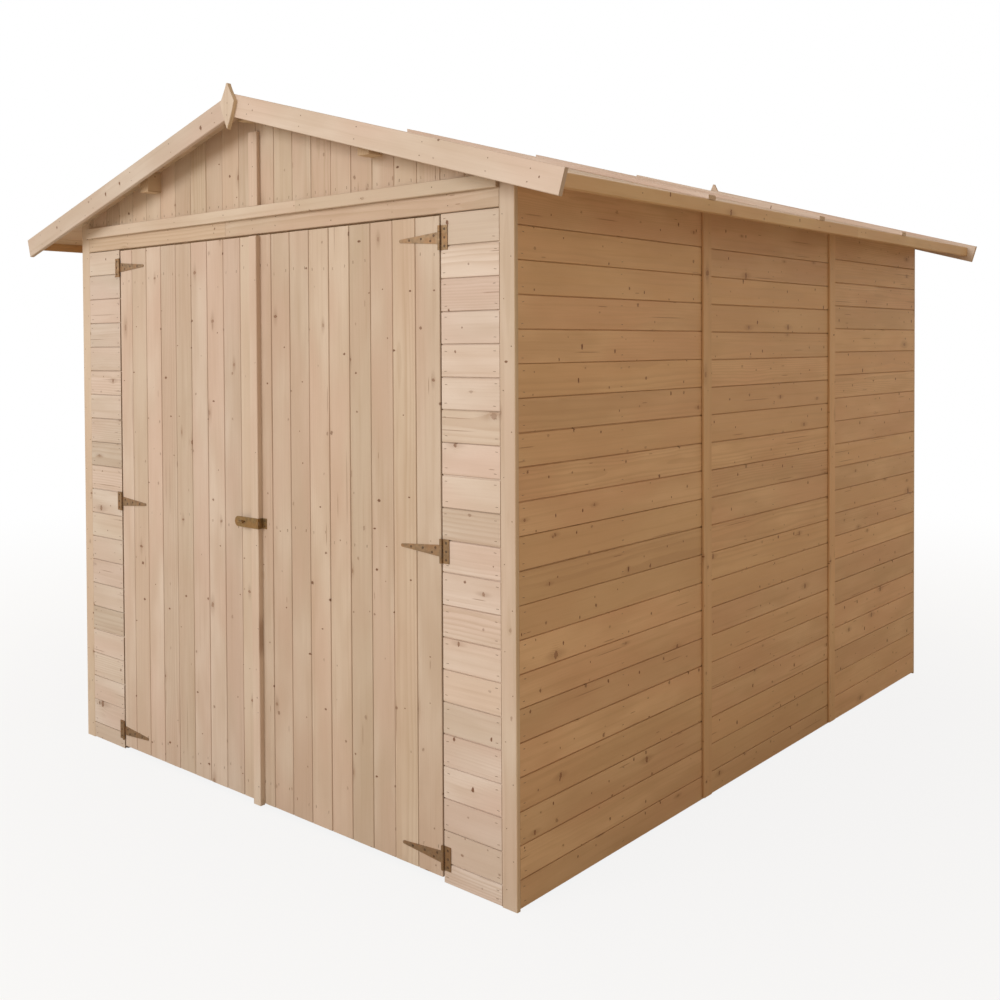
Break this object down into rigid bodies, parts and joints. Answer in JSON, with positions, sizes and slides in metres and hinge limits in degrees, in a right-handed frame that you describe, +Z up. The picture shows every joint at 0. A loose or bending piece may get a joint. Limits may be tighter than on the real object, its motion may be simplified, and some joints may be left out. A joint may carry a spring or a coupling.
{
  "type": "wooden garage",
  "caption": "Small gabled wooden garage of boarded wall and roof panels, with outward double doors on strap hinges and a hasp.",
  "frame": {"origin": "on the ground, in the middle of the building's box", "axes": "+X to the right seen from the doors, the doors face -Y, +Z up"},
  "size_m": [2.49, 3.116, 2.2747],
  "materials": {
    "wall_boards": "planed bare softwood",
    "roof_boards": "planed bare softwood",
    "door_boards": "planed bare softwood",
    "trim_timber": "planed bare softwood",
    "framing_timber": "rough-sawn bare softwood",
    "zinc_hardware": "yellow-passivated zinc plate, dull"
  },
  "bodies": {
    "garage": {"front_panel_left": "wall_boards", "front_panel_right": "wall_boards", "front_header": "wall_boards", "front_wall_battens": "framing_timber", "front_gable_left": "wall_boards", "front_gable_right": "wall_boards", "front_gable_batten": "trim_timber", "front_gable_strip": "trim_timber", "front_corner_trims": "trim_timber", "right_wall_front": "wall_boards", "right_wall_middle": "wall_boards", "right_wall_back": "wall_boards", "left_wall_front": "wall_boards", "left_wall_middle": "wall_boards", "left_wall_back": "wall_boards", "side_wall_battens": "framing_timber", "side_wall_strips": "trim_timber", "back_wall_left": "wall_boards", "back_wall_right": "wall_boards", "back_gable_left": "wall_boards", "back_gable_right": "wall_boards", "back_wall_battens": "framing_timber", "back_gable_batten": "trim_timber", "back_wall_strips": "trim_timber", "back_corner_trims": "trim_timber", "ridge_beam": "framing_timber", "purlins": "framing_timber", "rafters": "framing_timber", "roof_right_1": "roof_boards", "roof_right_2": "roof_boards", "roof_right_3": "roof_boards", "roof_right_4": "roof_boards", "roof_left_1": "roof_boards", "roof_left_2": "roof_boards", "roof_left_3": "roof_boards", "roof_left_4": "roof_boards", "roof_strips": "trim_timber", "eave_boards": "trim_timber", "front_barges": "trim_timber", "back_barges": "trim_timber", "front_finial": "trim_timber", "back_finial": "trim_timber", "hinge_plates": "zinc_hardware"},
    "right_door": {"door_right_leaf": "door_boards", "door_right_braces": "framing_timber", "door_right_straps": "zinc_hardware", "meeting_strip": "trim_timber", "hasp_plate": "zinc_hardware"},
    "left_door": {"door_left_leaf": "door_boards", "door_left_braces": "framing_timber", "door_left_straps": "zinc_hardware", "hasp_staple": "zinc_hardware"},
    "hasp": {"hasp_strap": "zinc_hardware"}
  },
  "joints": [
    {"name": "right_door_hinge", "type": "hinge", "parent": "garage", "child": "right_door", "pos_m": [0.7695, -1.45, 0.907], "axis": [0, 0, 1], "range_deg": [0, 165]},
    {"name": "left_door_hinge", "type": "hinge", "parent": "garage", "child": "left_door", "pos_m": [-0.7695, -1.45, 0.907], "axis": [0, 0, -1], "range_deg": [0, 165]},
    {"name": "hasp_hinge", "type": "hinge", "parent": "right_door", "child": "hasp", "pos_m": [0.0185, -1.4655, 0.906], "axis": [0, 0, 1], "range_deg": [0, 170]}
  ]
}
